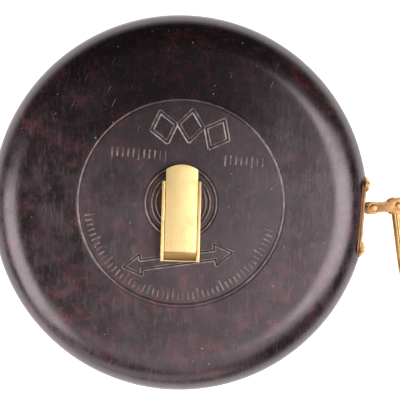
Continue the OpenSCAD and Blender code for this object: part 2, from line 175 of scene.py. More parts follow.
world = bpy.data.worlds.new("room")
world.use_nodes = True
sky = world.node_tree.nodes
direction = sky.new("ShaderNodeTexCoord")
parts_of_it = sky.new("ShaderNodeSeparateXYZ")
band = sky.new("ShaderNodeValToRGB")
stops = ((0.08, (0.60, 0.60, 0.60, 1)), (0.26, (0.030, 0.028, 0.030, 1)))
for element, (position, colour) in zip(band.color_ramp.elements, stops):
    element.position = position
    element.color = colour
world.node_tree.links.new(direction.outputs["Generated"], parts_of_it.inputs[0])
world.node_tree.links.new(parts_of_it.outputs["Z"], band.inputs["Fac"])
world.node_tree.links.new(band.outputs["Color"], sky["Background"].inputs["Color"])
bpy.context.scene.world = world
bpy.context.scene.view_settings.view_transform = "Standard"
print("lights:", [light.name for light in bpy.data.lights])

# %% [markdown]
# Modelling here is done with the same operators as by hand. Each piece starts from a primitive at its
# size and place, is shaped in edit mode, and gets its small bevels from a modifier that is applied. The
# helpers in the next cells only save typing: they choose what an operator works on.

# %% Choosing what to work on
def nothing_selected():
    if bpy.context.object and bpy.context.object.mode != "OBJECT":
        bpy.ops.object.mode_set(mode="OBJECT")
    bpy.ops.object.select_all(action="DESELECT")


def alone(piece):
    """Only this object is selected and active."""
    nothing_selected()
    piece.select_set(True)
    bpy.context.view_layer.objects.active = piece


class editing:
    """Edit mode with all of one piece selected, for the length of a with block."""

    def __init__(self, piece):
        self.piece = piece

    def __enter__(self):
        alone(self.piece)
        bpy.ops.object.mode_set(mode="EDIT")
        bpy.ops.mesh.select_all(action="SELECT")

    def __exit__(self, *problem):
        bpy.ops.object.mode_set(mode="OBJECT")


def pick(piece, kind, test):
    """In edit mode, selects only the faces, edges or vertices that pass the test."""
    mesh = bmesh.from_edit_mesh(piece.data)
    for group in (mesh.verts, mesh.edges, mesh.faces):
        for part in group:
            part.select_set(False)
    mesh.select_mode = {{"verts": "VERT", "edges": "EDGE", "faces": "FACE"}[kind]}
    for part in getattr(mesh, kind):
        if test(part):
            part.select_set(True)
    mesh.select_flush_mode()
    bmesh.update_edit_mesh(piece.data)


def centre_of(part):
    places = [vert.co for vert in part.verts]
    return sum(places, Vector()) / len(places)


# %% Primitives at their size and place
RIGHT_ANGLE = math.radians(90)


def add(name, operator, **settings):
    """A primitive with its size and place put into its mesh."""
    nothing_selected()
    operator(**settings)
    piece = bpy.context.object
    piece.name = name
    bpy.ops.object.transform_apply(location=True, rotation=True, scale=True)
    return piece


def block(name, low, high):
    """A box between two corners."""
    low, high = Vector(low), Vector(high)
    return add(name, bpy.ops.mesh.primitive_cube_add, size=1, location=(low + high) / 2, scale=high - low)


def upright(name, radius, low, high, place=(0, 0), sides=64):
    """A round bar standing along Z between two heights."""
    return add(name, bpy.ops.mesh.primitive_cylinder_add, vertices=sides, radius=radius, depth=high - low,
               location=(place[0], place[1], (low + high) / 2))


def crosswise(name, radius, length, place, sides=40):
    """A round bar lying along Y."""
    return add(name, bpy.ops.mesh.primitive_cylinder_add, vertices=sides, radius=radius, depth=length,
               location=place, rotation=(RIGHT_ANGLE, 0, 0))


def either_side(side, near, far):
    """The lower and the higher end of a stretch that lies on one side of the middle, -1 or 1."""
    return sorted((side * near, side * far))


# %% Closing and smoothing
WELD = 0.002 * MM


def closed(piece):
    """Welds what touches and points every face outwards."""
    with editing(piece):
        bpy.ops.mesh.remove_doubles(threshold=WELD)
        bpy.ops.mesh.normals_make_consistent(inside=False)
    return piece


def tidied(piece):
    """Closes a piece after cutting and joining, and merges faces that lie in one plane."""
    with editing(closed(piece)):
        bpy.ops.mesh.dissolve_limited(angle_limit=math.radians(0.4))
    return piece


def modify(piece, kind, **settings):
    """Adds one modifier and applies it."""
    alone(piece)
    bpy.ops.object.modifier_add(type=kind)
    modifier = piece.modifiers[-1]
    for key, value in settings.items():
        setattr(modifier, key, value)
    bpy.ops.object.modifier_apply(modifier=modifier.name)
    return piece


def soften(piece, width, segments=3, angle=50):
    """Breaks the sharp edges, as tumbling or handling does."""
    return modify(piece, "BEVEL", width=width, segments=segments, limit_method="ANGLE",
                  angle_limit=math.radians(angle), use_clamp_overlap=True)


def rounded(piece, radius, segments):
    """Rounds the edges that run along X."""
    with editing(piece):
        pick(piece, "edges", lambda edge: abs((edge.verts[1].co - edge.verts[0].co).normalized().x) > 0.99)
        bpy.ops.mesh.bevel(offset=radius, segments=segments, affect="EDGES")
    return piece


# %% Cutting, joining and placing
def carve(piece, cutter, operation="DIFFERENCE"):
    """Cuts one closed shape out of another."""
    modify(piece, "BOOLEAN", operation=operation, object=cutter, solver="EXACT")
    bpy.data.objects.remove(cutter)
    return piece


def merge(piece, other):
    """Joins one closed shape onto another."""
    return carve(piece, other, "UNION")


def slotted(screw, half_length, half_width, bottom, top):
    """Cuts the slot for a screwdriver across a screw's head."""
    return carve(screw, block("slot", (-half_length, -half_width, bottom), (half_length, half_width, top)))


def turned(piece, turn=0.0, place=(0, 0, 0), tip=(0, 0), size=(1, 1, 1)):
    """Resizes a piece, tips it about X and Y, turns it about Z, moves it and puts that into its mesh."""
    alone(piece)
    piece.scale, piece.rotation_euler, piece.location = size, (tip[0], tip[1], turn), place
    bpy.ops.object.transform_apply(location=True, rotation=True, scale=True)
    return piece


def copied(piece, name):
    twin = piece.copy()
    twin.data = piece.data.copy()
    twin.name = name
    bpy.context.collection.objects.link(twin)
    return twin


def joined(pieces, name):
    """Several meshes made one object."""
    alone(pieces[0])
    for piece in pieces:
        piece.select_set(True)
    bpy.ops.object.join()
    pieces[0].name = name
    return pieces[0]


def finished(piece, body, material, slot, *replaced, angle=40):
    """The last step of each piece: smooth shading, its finish and the body it rides on; slot is not used."""
    alone(piece)
    bpy.ops.object.shade_smooth_by_angle(angle=math.radians(angle))
    piece.data.materials.clear()
    piece.data.materials.append(material)
    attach(piece, body)
    if replaced:
        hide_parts(*replaced)
    print(f"{piece.name}: {len(piece.data.polygons)} faces")
    return piece


# %% [markdown]
# Round pieces are turned as on a lathe: a ring of points is raised and resized step by step through a
# profile of radius and height. Extruding a ring keeps clean rows of quads, which a bevel and smooth
# shading need, and the profile's round stretches come from a short function.

# %% Lathe
def arc(centre_r, centre_z, radius, start, end, steps):
    """Points (radius, height) on an arc, from the start angle to the end angle in degrees."""
    angles = [math.radians(start + (end - start) * i / steps) for i in range(steps + 1)]
    return [(centre_r + radius * math.cos(a), centre_z + radius * math.sin(a)) for a in angles]


def points(base, *pairs):
    """A stretch of profile from pairs in millimetres, with each height taken from this base."""
    return [(r * MM, base + z * MM) for r, z in pairs]


def mirrored(half):
    """A whole profile from its upper half."""
    return [(r, -z) for r, z in reversed(half)] + half


def lathe(name, profile, sides=96, ends=True):
    """Raises a ring through a profile in metres. With ends it is filled, without them it closes on itself."""
    r, z = profile[0]
    piece = add(name, bpy.ops.mesh.primitive_circle_add, vertices=sides, radius=r, location=(0, 0, z),
                fill_type="NGON" if ends else "NOTHING")
    extrude = bpy.ops.mesh.extrude_region_move if ends else bpy.ops.mesh.extrude_edges_move
    with editing(piece):
        for next_r, next_z in profile[1:]:
            extrude(TRANSFORM_OT_translate={"value": (0, 0, next_z - z)})
            bpy.ops.transform.resize(value=(next_r / r, next_r / r, 1), center_override=(0, 0, 0))
            r, z = next_r, next_z
    return closed(piece)

# %% [markdown]
# A finish is a small network of shader nodes. Two classes keep it readable. Value wraps a socket, so
# that a mask can be written as a sum or a product; each sign adds one Math node. Finish owns one
# material and adds any other node from its type, its settings and its inputs.

# %% Shader values
class Value:
    """A socket that can be added to, taken from and multiplied by numbers and other sockets."""

    def __init__(self, finish, socket):
        self.finish = finish
        self.socket = socket

    def maths(self, operation, first, second=0.0):
        return self.finish.node("ShaderNodeMath", {"operation": operation}, {0: first, 1: second})

    def __add__(self, other):
        return self.maths("ADD", self, other)

    def __sub__(self, other):
        return self.maths("SUBTRACT", self, other)

    def __rsub__(self, other):
        return self.maths("SUBTRACT", other, self)

    def __mul__(self, other):
        return self.maths("MULTIPLY", self, other)

    def __gt__(self, other):
        return self.maths("GREATER_THAN", self, other)

    def __lt__(self, other):
        return self.maths("LESS_THAN", self, other)

    def __mod__(self, other):
        return self.maths("FLOORED_MODULO", self, other)

    def __abs__(self):
        return self.maths("ABSOLUTE", self)

    def sine(self):
        return self.maths("SINE", self)

    def at_most(self, limit):
        return self.maths("MINIMUM", self, limit)

    __radd__ = __add__
    __rmul__ = __mul__

    def beside(self, name):
        """Another output of the same node."""
        return Value(self.finish, self.socket.node.outputs[name])


# %% Finishes
class Finish:
    """One material built round a Principled shader."""

    def __init__(self, name, **sockets):
        self.material = bpy.data.materials.new(name)
        self.material.use_nodes = True
        self.tree = self.material.node_tree
        self.shader = self.tree.nodes["Principled BSDF"]
        self.place = self.node("ShaderNodeTexCoord", out="Object")
        self.set(**sockets)

    def node(self, kind, settings=None, inputs=None, out=0):
        """Adds a node, sets it up, fills its inputs with values or links and gives one output."""
        made = self.tree.nodes.new(kind)
        for key, value in (settings or {}).items():
            setattr(made, key, value)
        for key, value in (inputs or {}).items():
            self.fill(made.inputs[key], value)
        return Value(self, made.outputs[out])

    def fill(self, socket, value):
        """Links a Value, or sets a number, a vector or a colour of red, green and blue."""
        if isinstance(value, Value):
            self.tree.links.new(value.socket, socket)
        else:
            socket.default_value = (*value, 1.0) if socket.type == "RGBA" else value

    def set(self, **sockets):
        """Fills the shader's own sockets: Base_Color stands for Base Color."""
        for key, value in sockets.items():
            self.fill(self.shader.inputs[key.replace("_", " ")], value)

    def vector(self, operation, first, second=(0, 0, 0), out=0):
        return self.node("ShaderNodeVectorMath", {"operation": operation}, {0: first, 1: second}, out)

    def along(self, turn):
        """Object coordinates turned about Z."""
        return self.node("ShaderNodeVectorRotate", {"rotation_type": "Z_AXIS"},
                         {"Vector": self.place, "Angle": -turn})

    def stretched(self, scale, turn=0.0):
        """Object coordinates turned about Z and then scaled along each axis."""
        return self.vector("MULTIPLY", self.along(turn), scale)

    def noise(self, size, detail=3.0, roughness=0.55, where=None, distortion=0.0):
        """Soft noise with features about this many millimetres across."""
        scale = 1.0 if where else 1.0 / (size * MM)
        return self.node("ShaderNodeTexNoise", None,
                         {"Vector": where or self.place, "Scale": scale, "Detail": detail,
                          "Roughness": roughness, "Distortion": distortion}, out="Fac")

    def cloud(self, size, low, high, detail=3.0, roughness=0.55, distortion=0.0):
        """A mask of soft noise: 0 where it is below low, 1 where it is above high."""
        return self.step(self.noise(size, detail, roughness, distortion=distortion), low, high)

    def step(self, value, low, high):
        """0 below low, 1 above high and smooth between."""
        return self.node("ShaderNodeMapRange", {"interpolation_type": "SMOOTHSTEP"},
                         {"Value": value, "From Min": low, "From Max": high})

    def mix(self, factor, first, second):
        """From the first colour to the second."""
        return self.node("ShaderNodeMix", {"data_type": "RGBA"}, {0: factor, 6: first, 7: second}, out=2)

    def axis(self, name, place=None):
        """One coordinate, X, Y or Z, of Object coordinates or of another place."""
        return self.node("ShaderNodeSeparateXYZ", None, {"Vector": place or self.place}, out=name)

    def bump(self, height, strength, depth):
        """Fine relief, at most this many millimetres deep."""
        self.set(Normal=self.node("ShaderNodeBump", None,
                                  {"Height": height, "Strength": strength, "Distance": depth * MM}))


# %% [markdown]
# Bakelite from a press is mottled: wood flour and dye don't mix fully, so patches of maroon and brown
# lie in a near black ground. Years in a tool bag then haze the gloss, scratch it in fine hairlines and
# leave pale dust in the pores. Colour, haze, scratches and dust are four masks over one shader, and
# the colour also holds painted shade near the top of the face and painted highlights on raised lines.

# %% Bakelite, colour
bakelite = Finish("bakelite", IOR=1.62, Specular_IOR_Level=0.8, Specular_Tint=(1.0, 0.86, 0.91))
cloud = bakelite.cloud
flat_place = bakelite.vector("MULTIPLY", bakelite.place, (1, 1, 0))
from_dark_spot = bakelite.vector("DISTANCE", flat_place, (-5 * MM, 48 * MM, 0), "Value")

# Painted shade: the face is painted darker, with fainter patches, towards a spot near its top, and lighter away
# from it
away_from_painted_shade = bakelite.step(from_dark_spot, 12 * MM, 66 * MM)
patches_outside_shade = away_from_painted_shade * 0.75 + 0.25
maroon = cloud(5, 0.47, 0.68, 5, 0.66, 0.6) * cloud(18, 0.40, 0.58)
brown = cloud(3.2, 0.52, 0.70, 4, 0.7, 0.8)
ground = bakelite.mix(cloud(14, 0.40, 0.62, 4, 0.6) * away_from_painted_shade,
                      (0.0045, 0.0028, 0.0030), (0.022, 0.010, 0.013))
ground = bakelite.mix(maroon * patches_outside_shade * 0.9, ground, (0.100, 0.017, 0.025))
ground = bakelite.mix(brown * patches_outside_shade * 0.7, ground, (0.068, 0.031, 0.023))

# %% Bakelite, wear
# Fine upright streaks, a few short hairlines and a cloudy film. They lighten the face away from the painted
# shade near its top, so that lightness is partly painted sheen
rub_marks = bakelite.noise(1, 4, 0.65, where=bakelite.stretched((1500, 170, 200), VIEW_TURN))
rubbed = bakelite.step(rub_marks, 0.50, 0.74)
hair_place = bakelite.stretched((3000, 120, 300), math.radians(-24))
hairs = bakelite.step(bakelite.noise(1, 1, 0.4, where=hair_place), 0.77, 0.82)
film = cloud(9, 0.38, 0.66, 6, 0.74)
from_axis = bakelite.vector("LENGTH", flat_place, out="Value")
in_badge = (1 - bakelite.step(from_axis, 31.5 * MM, 33.5 * MM)) * (bakelite.axis("Z") > face_z - 1 * MM)
grit = cloud(0.9, 0.56, 0.70, 3, 0.6)
haze_and_painted_sheen = (film * 0.11 + rubbed * 0.28) * (away_from_painted_shade * 0.9 + 0.1) + grit * 0.14 + in_badge * 0.04
ground = bakelite.mix(haze_and_painted_sheen, ground, (0.130, 0.092, 0.104))

# Pale dust in the pores, each pore of its own size
pores = bakelite.node("ShaderNodeTexVoronoi", None,
                      {"Vector": bakelite.place, "Scale": 1 / (2.6 * MM)}, "Distance")
pore_size = bakelite.node("ShaderNodeSeparateColor", None, {"Color": pores.beside("Color")})
specks = pores < (pore_size - 0.72) * 0.36

# Lighter where something stands proud of the face, partly wear and partly a painted highlight, strongest at the
# left and right of the badge bead, little beside the crank and at the top and bottom outside the badge
on_edge = bakelite.step(bakelite.axis("Z"), face_z + 0.08 * MM, face_z + 0.26 * MM)
sideways = bakelite.step(abs(bakelite.axis("X")), 10 * MM, 30 * MM)
spared_wear_and_highlight = (from_axis > 32 * MM) * (0.75 - sideways * 0.75) + (from_axis < 10.6 * MM) * 0.6
wear_and_highlight = on_edge * (1 - spared_wear_and_highlight) * (0.30 + cloud(2.5, 0.42, 0.60) * 0.45)

# %% Bakelite, put together
pale = bakelite.mix(hairs * 0.25 + wear_and_highlight, ground, (0.34, 0.25, 0.23))
pale = bakelite.mix(specks * 0.6, pale, (0.50, 0.42, 0.38))
matt = away_from_painted_shade * (0.06 + film * 0.09 + rubbed * 0.08)
bakelite.set(Base_Color=pale, Roughness=0.17 + matt + in_badge * 0.08 + hairs * 0.2 + specks * 0.4)
bakelite.bump(rub_marks * 0.6 + bakelite.noise(1.6, 4) * 0.7 - hairs * 0.4, 0.32, 0.05)
print("bakelite:", len(bakelite.tree.nodes), "nodes")

# %% Painted groove shade
# A dark rough strip laid along the raised lines, as painted shade where their grooves are shadowed.
shade_paint = Finish("old_polish")
shade_mottle = shade_paint.noise(0.8, 3, 0.6)
shade_paint.set(Base_Color=shade_paint.mix(shade_mottle, (0.004, 0.003, 0.003), (0.020, 0.012, 0.012)),
           Roughness=0.60 + shade_mottle * 0.2)
shade_paint.bump(shade_mottle, 0.3, 0.04)
print("polish in the grooves")

# %% [markdown]
# The brass is plain rolled strip, cut and bent. Handling keeps the crank and the ring bright, while
# the mouth plate and the link stay browner. All share one recipe: a metal with rolling lines along
# the strip, clouds of tarnish and a few dark spots, and only the colours and amounts differ, save that
# the flap is painted darker on its curl over the hinge, as painted shade, and the mouth plate has a dark
# line along its fold.

# %% Brass
def brass_finish(name, bright, tarnish, gloss, turn, cover, darkening=None, darkening_colour=(0.34, 0.19, 0.06)):
    brass = Finish(name, Metallic=1.0)
    lines = brass.noise(1, 3, 0.6, where=brass.stretched((180, 2600, 2600), turn))
    clouds = brass.cloud(4.5, 0.42, 0.68, 5, 0.65)
    spots = brass.cloud(1.1, 0.66, 0.74, 3, 0.6)
    colour = brass.mix(clouds * cover + brass.step(lines, 0.45, 0.75) * 0.22, bright, tarnish)
    colour = brass.mix(spots * cover, colour, (0.16, 0.085, 0.035))
    # The flap's curl is painted darker here as painted shade; the mouth plate gets a dark line at its fold
    if darkening:
        colour = brass.mix(darkening(brass), colour, darkening_colour)
    brass.set(Base_Color=colour, Roughness=gloss + clouds * 0.10 + lines * 0.10 + spots * 0.15)
    brass.bump(lines * 0.6 + brass.noise(0.7, 2) * 0.5, 0.18, 0.04)
    return brass.material


def knuckle_shade(brass):
    """Painted shade on the curl over the hinge, which faces away from the light."""
    return brass.step(brass.axis("X", brass.along(crank_turn)), hinge_u - 0.5 * MM, hinge_u) * 0.85


def fold_line(brass):
    """The dark line along the edge of the mouth plate, where its strip is folded double."""
    off_line = abs(brass.axis("X") - (plate_face - 0.72 * MM))
    return (1 - brass.step(off_line, 0.07 * MM, 0.24 * MM)) * 0.9


handled_brass = brass_finish("handled_brass", (0.82, 0.56, 0.24), (0.52, 0.31, 0.11), 0.36, ring_turn, 0.45)
crank_brass = brass_finish("crank_brass", (1.0, 0.75, 0.35), (0.80, 0.51, 0.18), 0.38, crank_turn, 0.35)
# The flap's brass carries painted shade on its curl over the hinge
flap_brass = brass_finish("flap_brass", (1.0, 0.76, 0.37), (0.80, 0.51, 0.18), 0.44, crank_turn, 0.25, knuckle_shade)
aged_brass = brass_finish("aged_brass", (0.38, 0.215, 0.10), (0.17, 0.085, 0.045), 0.36, RIGHT_ANGLE, 0.6)
plate_brass = brass_finish("plate_brass", (0.40, 0.225, 0.105), (0.20, 0.095, 0.05), 0.36, RIGHT_ANGLE, 0.6,
                           fold_line, (0.07, 0.032, 0.02))
copper_brass = brass_finish("link_brass", (0.62, 0.335, 0.15), (0.27, 0.125, 0.055), 0.36, link_turn, 0.6)
print("six brasses")

# %% [markdown]
# Steel parts are turned or stamped and sit mostly inside: light grey, with fine rings of machining
# and a little brown in patches. The core of the reel is turned beech.

# %% Steel and wood
steel = Finish("turned_steel", Metallic=1.0)
stains = steel.cloud(3, 0.55, 0.72, 4, 0.65)
cuts = steel.noise(1, 2, 0.5, where=steel.stretched((300, 300, 9000)))
steel.set(Base_Color=steel.mix(stains * 0.5, (0.52, 0.51, 0.49), (0.25, 0.17, 0.11)),
          Roughness=0.30 + stains * 0.25 + cuts * 0.10)
steel.bump(cuts, 0.15, 0.03)

wood = Finish("turned_beech")
grain_lines = wood.noise(1, 4, 0.6, where=wood.stretched((900, 900, 60)))
wood.set(Base_Color=wood.mix(grain_lines, (0.42, 0.25, 0.12), (0.22, 0.12, 0.055)),
         Roughness=0.55 + grain_lines * 0.2)
wood.bump(grain_lines, 0.3, 0.06)
print("steel and wood")

# %% [markdown]
# The tape is varnished linen. Its weave is two sets of fine threads, and its face carries a printed
# scale: a short line each 2 mm, a longer one each centimetre and a red one each 10 cm. The marks are
# worked out from the distance along X, so they keep their true pitch when the tape is drawn out.

# %% Woven tape
TAPE_W = 16 * MM
cloth = Finish("woven_tape")
along = cloth.axis("X")
height = cloth.axis("Z")
warp = (height * (math.tau / (0.42 * MM))).sine()
weft = (along * (math.tau / (0.5 * MM))).sine()
weave = warp * weft * 0.5 + 0.5
from_edge = mid_z + TAPE_W / 2 - height


def marks(pitch, width, length):
    """Lines across the tape from its upper edge."""
    return ((along % pitch) < width) * (from_edge < length)


dark_marks = (marks(2 * MM, 0.28 * MM, 3.0 * MM) + marks(10 * MM, 0.38 * MM, 7.5 * MM)).at_most(1.0)
red_marks = marks(100 * MM, 0.8 * MM, TAPE_W)
soil = cloth.cloud(6, 0.40, 0.70, 4, 0.6)
linen = cloth.mix(soil * 0.5, (0.70, 0.60, 0.40), (0.45, 0.34, 0.19))
linen = cloth.mix(weave * 0.25, linen, (0.33, 0.25, 0.15))
linen = cloth.mix(dark_marks * 0.85, linen, (0.03, 0.028, 0.027))
linen = cloth.mix(red_marks * 0.85, linen, (0.40, 0.03, 0.025))
cloth.set(Base_Color=linen, Roughness=0.55 + weave * 0.15)
cloth.bump(weave, 0.5, 0.05)
print("woven tape:", len(cloth.tree.nodes), "nodes")

# %% Edges of the wound tape
coil_edge = Finish("tape_edges")
threads = coil_edge.noise(0.5, 3, 0.6)
coil_edge.set(Base_Color=coil_edge.mix(threads, (0.55, 0.45, 0.28), (0.30, 0.22, 0.12)),
              Roughness=0.6 + threads * 0.2)
coil_edge.bump(threads, 0.4, 0.08)
print("tape edges:", len(coil_edge.tree.nodes), "nodes")

# %% [markdown]
# The front shell is one deep moulding: flat face, rounded shoulder, rim wall, and inside it a pillar
# for each case screw. It is turned from one closed profile that runs round the outside and back
# through the inside, so the wall has its true thickness. The face carries the badge bead and the
# rings of the boss as part of the same profile, as the mould would cut them.

# %% Lines on the face
def ridge(radius, width, height, steps=6):
    """A low rounded ring on the face, from its outer foot to its inner foot."""
    angles = [math.pi * i / steps for i in range(steps + 1)]
    return [(radius + width / 2 * math.cos(a), face_z + height * math.sin(a)) for a in angles]


def groove(radius, width, depth):
    """A fine groove, with a close ring on each side so that the flat beside it stays flat."""
    half, margin = width / 2, width / 2 + 0.08 * MM
    return [(radius + margin, face_z), (radius + half, face_z), (radius, face_z - depth),
            (radius - half, face_z), (radius - margin, face_z)]


def soft_shoulder(steps=28):
    """A shoulder that leaves the flat face so gently that no edge shows, and ends upright at the rim."""
    start = 48.5 * MM
    foot = face_z - shoulder
    angles = [math.radians(90 * i / steps) for i in range(steps + 1)]
    return [(start + (case_r - start) * math.cos(a), foot + shoulder * math.sin(a)) for a in angles]


# %% Front shell, turned
badge_r = 32.8 * MM
bead_edge = 0.62 * MM
bush_r = 5.52 * MM
chamfer = 0.25 * MM
inner_round = 5 * MM
lip_gap_r = inner_r + 1.54 * MM
lip_gap_top = seam_z + 2.1 * MM
sunk = face_z - 0.3 * MM
deep = face_z - 0.6 * MM

front_profile = (
    [(case_r - chamfer, seam_z), (case_r, seam_z + chamfer), (case_r, mid_z)]
    + soft_shoulder()
    + [(44 * MM, face_z)]
    + groove(badge_r + bead_edge, 0.3 * MM, 0.10 * MM)
    + ridge(badge_r, 0.72 * MM, 0.30 * MM)
    + groove(badge_r - bead_edge, 0.3 * MM, 0.10 * MM)
    + [(22 * MM, face_z)]
    + groove(11.9 * MM, 0.4 * MM, 0.15 * MM)
    + ridge(11.3 * MM, 0.7 * MM, 0.40 * MM)
    + points(sunk, (10.6, 0), (9.75, 0))
    + ridge(9.25 * MM, 0.75 * MM, 0.34 * MM, 4)
    + points(sunk, (8.7, 0), (8.35, 0))
    + ridge(7.9 * MM, 0.7 * MM, 0.34 * MM, 4)
    + [(7.4 * MM, deep), (bush_r, deep), (bush_r, inner_top), (30 * MM, inner_top)]
    + arc(inner_r - inner_round, inner_top - inner_round, inner_round, 90, 0, 8)
    + [(inner_r, lip_gap_top), (lip_gap_r, lip_gap_top), (lip_gap_r, seam_z), (case_r - chamfer, seam_z)]
)
front_shell = lathe("front_shell", front_profile, sides=256, ends=False)
print(len(front_profile), "rings in the profile")

# %% [markdown]
# What isn't round is joined on or cut out: pillars and mouth pads are joined, then the flat seat of
# the mouth plate and its window are cut through the rim. The same cutters serve the back cover, so
# they are made by functions.

# %% Pillars, pads and mouth cuts
plate_half_w = extent("mouth_plate").y / 2
plate_half_h = extent("mouth_plate").z / 2
pillar_r = 2.7 * MM
window_y = middle("roller_upper").y + 2.8 * MM
window_z = 10.1 * MM
pad_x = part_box("roller_upper")[0][0]
pad_out = 14.5 * MM
past_rim = case_r + 5 * MM
PILLAR_AT = 54.4 * MM
pillar_turns = [math.radians(45 + 90 * quarter) for quarter in range(4)]


def pillar_place(turn):
    return (PILLAR_AT * math.cos(turn), PILLAR_AT * math.sin(turn), 0)


def pillars(bottom, top, radius):
    """Four upright rods near the rim, a quarter turn apart from 45 degrees."""
    rods = [upright("rod", radius, bottom, top, pillar_place(turn), 32) for turn in pillar_turns]
    return joined(rods, "rods")


def plate_shape(name, half_w, half_h, low_x, high_x, corner, segments):
    """A plate across X, as high and wide as asked about the middle of the mouth, with round corners."""
    return rounded(block(name, (low_x, -half_w, mid_z - half_h), (high_x, half_w, mid_z + half_h)),
                   corner, segments)


def cut_mouth(shell):
    room = 0.1 * MM
    seat = plate_shape("seat_cut", plate_half_w + room, plate_half_h + room, seat_x, past_rim, 4.1 * MM, 8)
    carve(shell, seat)
    carve(shell, block("window_cut", (pad_x - 1 * MM, -window_y, mid_z - window_z),
                       (past_rim, window_y, mid_z + window_z)))


def join_pads(shell, bottom, top):
    """Two thick blocks behind the mouth plate for its screws, kept inside the shell's outline."""
    inset = 0.8 * MM
    rim = (case_r - inset, mid_z)
    outline = ([rim] + [(r - inset, z - inset) for r, z in soft_shoulder(12)]
               + [(10 * MM, face_z - inset), (10 * MM, inset), (case_r - shoulder - inset, inset)]
               + arc(case_r - shoulder - inset, shoulder + inset, shoulder, -90, 0, 12) + [rim])
    for side in (-1, 1):
        low_y, high_y = either_side(side, window_y, pad_out)
        pad = block("pad", (pad_x, low_y, bottom), (case_r, high_y, top))
        carve(pad, lathe("outline", outline, sides=128, ends=False), "INTERSECT")
        merge(shell, pad)


# %% Front shell, cut
join_pads(front_shell, seam_z, inner_top + 0.5 * MM)
merge(front_shell, pillars(seam_z, inner_top + 0.2 * MM, pillar_r))
cut_mouth(front_shell)
carve(front_shell, pillars(seam_z - 1 * MM, 20 * MM, 1.12 * MM))
finished(closed(front_shell), "case", bakelite.material, "bakelite", "case_front", angle=32)

# %% [markdown]
# Inside the badge the moulding carries raised marks. These are plain workshop signs: three lozenges
# above the crank, a dimension arrow below it, and rows of graduation ticks. Each is drawn as a thin
# bar with a bevelled top. A bar is made once, and every stroke is a resized copy of it, so a sign is
# only a list of strokes. Along each line of the lozenges and the arrow lies a narrower dark strip, a
# painted shade for the shadow in the line's groove.

# %% Strokes
MARK_H = 0.34 * MM
stroke_master = block("stroke", (-0.5, -0.5, -0.5), (0.5, 0.5, 0.5))


def on_rim(vert):
    """True for the outer corners of a bar's top, where a side face meets the bevel."""
    return any(abs(face.normal.z) < 0.1 for face in vert.link_faces)


def stroke(start, end, width, top=MARK_H):
    """A raised bar on the face between two places."""
    start, end = Vector(start), Vector(end)
    span = end - start
    heart = (start + end) / 2
    bar = turned(copied(stroke_master, "bar"), math.atan2(span.y, span.x),
                 (heart.x, heart.y, face_z + top / 2 - 0.2 * MM),
                 size=(span.length + width * 0.5, width, top + 0.4 * MM))
    with editing(bar):
        pick(bar, "faces", lambda face: face.normal.z > 0.9)
        bpy.ops.mesh.inset(thickness=width * 0.22, depth=0)
        pick(bar, "verts", lambda vert: vert.co.z > face_z and on_rim(vert))
        bpy.ops.transform.translate(value=(0, 0, -top * 0.45))
    return bar


def polar(radius, angle):
    """A place on the face by its distance from the axis and its direction in degrees."""
    return Vector((radius * math.cos(math.radians(angle)), radius * math.sin(math.radians(angle))))


# %% Lozenges
LINE = 1.5 * MM
signs = []
groove_shades = []


def with_groove_shade(start, end, width):
    """A raised line with a narrower dark strip along its top, as painted shade of a groove."""
    signs.append(stroke(start, end, width))
    groove_shades.append(stroke(start, end, width * 0.52, MARK_H + 0.03 * MM))


for direction in (66.7, 87, 107.2):
    heart = polar(24.6 * MM, direction)
    tips = [heart + polar((4.0, 5.0)[side % 2] * MM, direction + 90 + 90 * side) for side in range(4)]
    for side in range(4):
        with_groove_shade(tips[side], tips[side - 1], LINE)
print(len(groove_shades), "lines in the lozenges")

# %% Arrow
arrow_turn = Matrix.Rotation(math.radians(12), 2)
arrow_heart = Vector((0.5 * MM, -18.2 * MM))
tip_x, barb_x, barb_y, shaft_y = 17.5 * MM, 11.9 * MM, 3.4 * MM, 1.5 * MM
for side in (-1, 1):
    for edge in (-1, 1):
        outline = ((tip_x, 0), (barb_x, edge * barb_y), (barb_x, edge * shaft_y), (0, edge * shaft_y))
        corners = [arrow_heart + arrow_turn @ Vector((side * x, y)) for x, y in outline]
        for start, end in zip(corners, corners[1:]):
            with_groove_shade(start, end, LINE * 0.85)
print(len(groove_shades), "lines with the arrow")

# %% Ticks
ARC_R = 30.9 * MM
ARC_FROM, ARC_STEP, ARC_COUNT = 192, 3.1, 51
ROW_STEP = 1.7 * MM
row_up = Vector((0, 1.3 * MM))
for count in range(ARC_COUNT):
    direction = ARC_FROM + ARC_STEP * count
    reach = 3.2 * MM if count % 5 == 0 else 2.1 * MM
    signs.append(stroke(polar(ARC_R, direction), polar(ARC_R - reach, direction), 0.62 * MM))

for row_r, direction, count in ((20.6 * MM, 135, 11), (24.0 * MM, 37.8, 8)):
    for index in range(count):
        heart = polar(row_r, direction) + Vector((ROW_STEP * (index - (count - 1) / 2), 0))
        reach = Vector((0, 2.0 * MM)) if index % 5 == 0 else row_up
        signs.append(stroke(heart - reach, heart + row_up, 0.66 * MM))

bpy.data.objects.remove(stroke_master)
finished(joined(signs, "badge_marks"), "case", bakelite.material, "bakelite", angle=20)
finished(joined(groove_shades, "badge_grooves"), "case", shade_paint.material, "bakelite", angle=20)

# %% [markdown]
# The back cover is a shallow dish with a thin lip that locates inside the front shell. The seam sits
# below the widest line of the case, where it can't be seen from the front. Two fine rings are turned
# into its flat back, and a screw sits in a counterbore at each pillar.

# %% Back cover
lip_top = seam_z + 2.0 * MM
lip_r = lip_gap_r - 0.1 * MM
hub_gap = 1.2 * MM


def back_ring(radius):
    """A fine ring turned into the flat back, at a radius in millimetres."""
    return points(0, (radius + 0.4, 0), (radius, 0.3), (radius - 0.4, 0))


